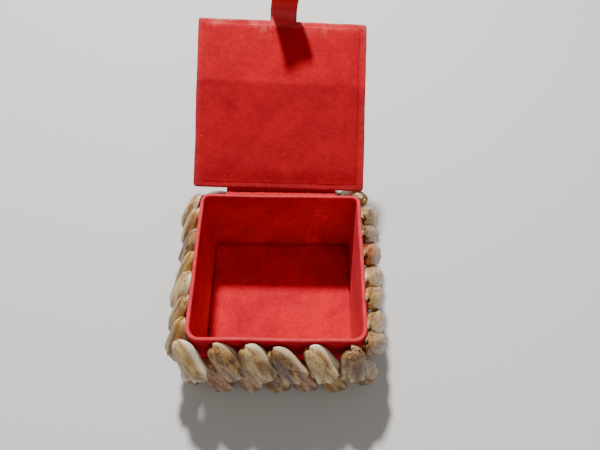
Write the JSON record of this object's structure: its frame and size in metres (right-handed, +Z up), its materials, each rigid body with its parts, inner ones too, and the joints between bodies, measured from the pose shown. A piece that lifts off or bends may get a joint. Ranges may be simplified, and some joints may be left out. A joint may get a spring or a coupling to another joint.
{
  "type": "shell-covered trinket box",
  "caption": "Small box of card lined in red flocked paper, its walls and lid covered in glued sea shells, with a cloth-hinged lid and a ribbon pull.",
  "frame": {"origin": "middle of the box's flat underside", "axes": "+Z up, +Y from the front towards the hinged back, +X to the right seen from the front"},
  "size_m": [0.0969, 0.1595, 0.1135],
  "materials": {
    "red_flock": "red flocked paper glued over card, matt with a soft pile",
    "hinge_cloth": "thin red cloth, matt",
    "satin_ribbon": "red satin ribbon with a low sheen",
    "sea_shell": "sea shell, satin, cream to tan with brown flecks"
  },
  "bodies": {
    "box": {"box_body": "red_flock", "floor_card": "red_flock", "hinge_cloth": "hinge_cloth", "lower_back_shell_1": "sea_shell", "lower_back_shell_2": "sea_shell", "lower_back_shell_3": "sea_shell", "lower_back_shell_4": "sea_shell", "lower_back_shell_5": "sea_shell", "lower_back_shell_6": "sea_shell", "lower_front_shell_1": "sea_shell", "lower_front_shell_2": "sea_shell", "lower_front_shell_3": "sea_shell", "lower_front_shell_4": "sea_shell", "lower_front_shell_5": "sea_shell", "lower_front_shell_6": "sea_shell", "lower_left_shell_1": "sea_shell", "lower_left_shell_2": "sea_shell", "lower_left_shell_3": "sea_shell", "lower_left_shell_4": "sea_shell", "lower_left_shell_5": "sea_shell", "lower_left_shell_6": "sea_shell", "lower_right_shell_1": "sea_shell", "lower_right_shell_2": "sea_shell", "lower_right_shell_3": "sea_shell", "lower_right_shell_4": "sea_shell", "lower_right_shell_5": "sea_shell", "lower_right_shell_6": "sea_shell", "upper_back_shell_1": "sea_shell", "upper_back_shell_2": "sea_shell", "upper_back_shell_3": "sea_shell", "upper_back_shell_4": "sea_shell", "upper_back_shell_5": "sea_shell", "upper_back_shell_6": "sea_shell", "upper_front_shell_1": "sea_shell", "upper_front_shell_2": "sea_shell", "upper_front_shell_3": "sea_shell", "upper_front_shell_4": "sea_shell", "upper_front_shell_5": "sea_shell", "upper_front_shell_6": "sea_shell", "upper_left_shell_1": "sea_shell", "upper_left_shell_2": "sea_shell", "upper_left_shell_3": "sea_shell", "upper_left_shell_4": "sea_shell", "upper_left_shell_5": "sea_shell", "upper_left_shell_6": "sea_shell", "upper_left_shell_7": "sea_shell", "upper_right_shell_1": "sea_shell", "upper_right_shell_2": "sea_shell", "upper_right_shell_3": "sea_shell", "upper_right_shell_4": "sea_shell", "upper_right_shell_5": "sea_shell", "upper_right_shell_6": "sea_shell", "upper_right_shell_7": "sea_shell"},
    "lid": {"lid_board": "red_flock", "lid_lining": "red_flock", "lid_shell_row_1": "sea_shell", "lid_shell_row_2": "sea_shell", "lid_shell_row_3": "sea_shell", "ribbon_pull": "satin_ribbon"}
  },
  "joints": [
    {"name": "lid_hinge", "type": "hinge", "parent": "box", "child": "lid", "pos_m": [0, 0.0365, 0.0483], "axis": [1, 0, 0], "range_deg": [0, 150], "deforming": ["hinge_cloth"]}
  ]
}
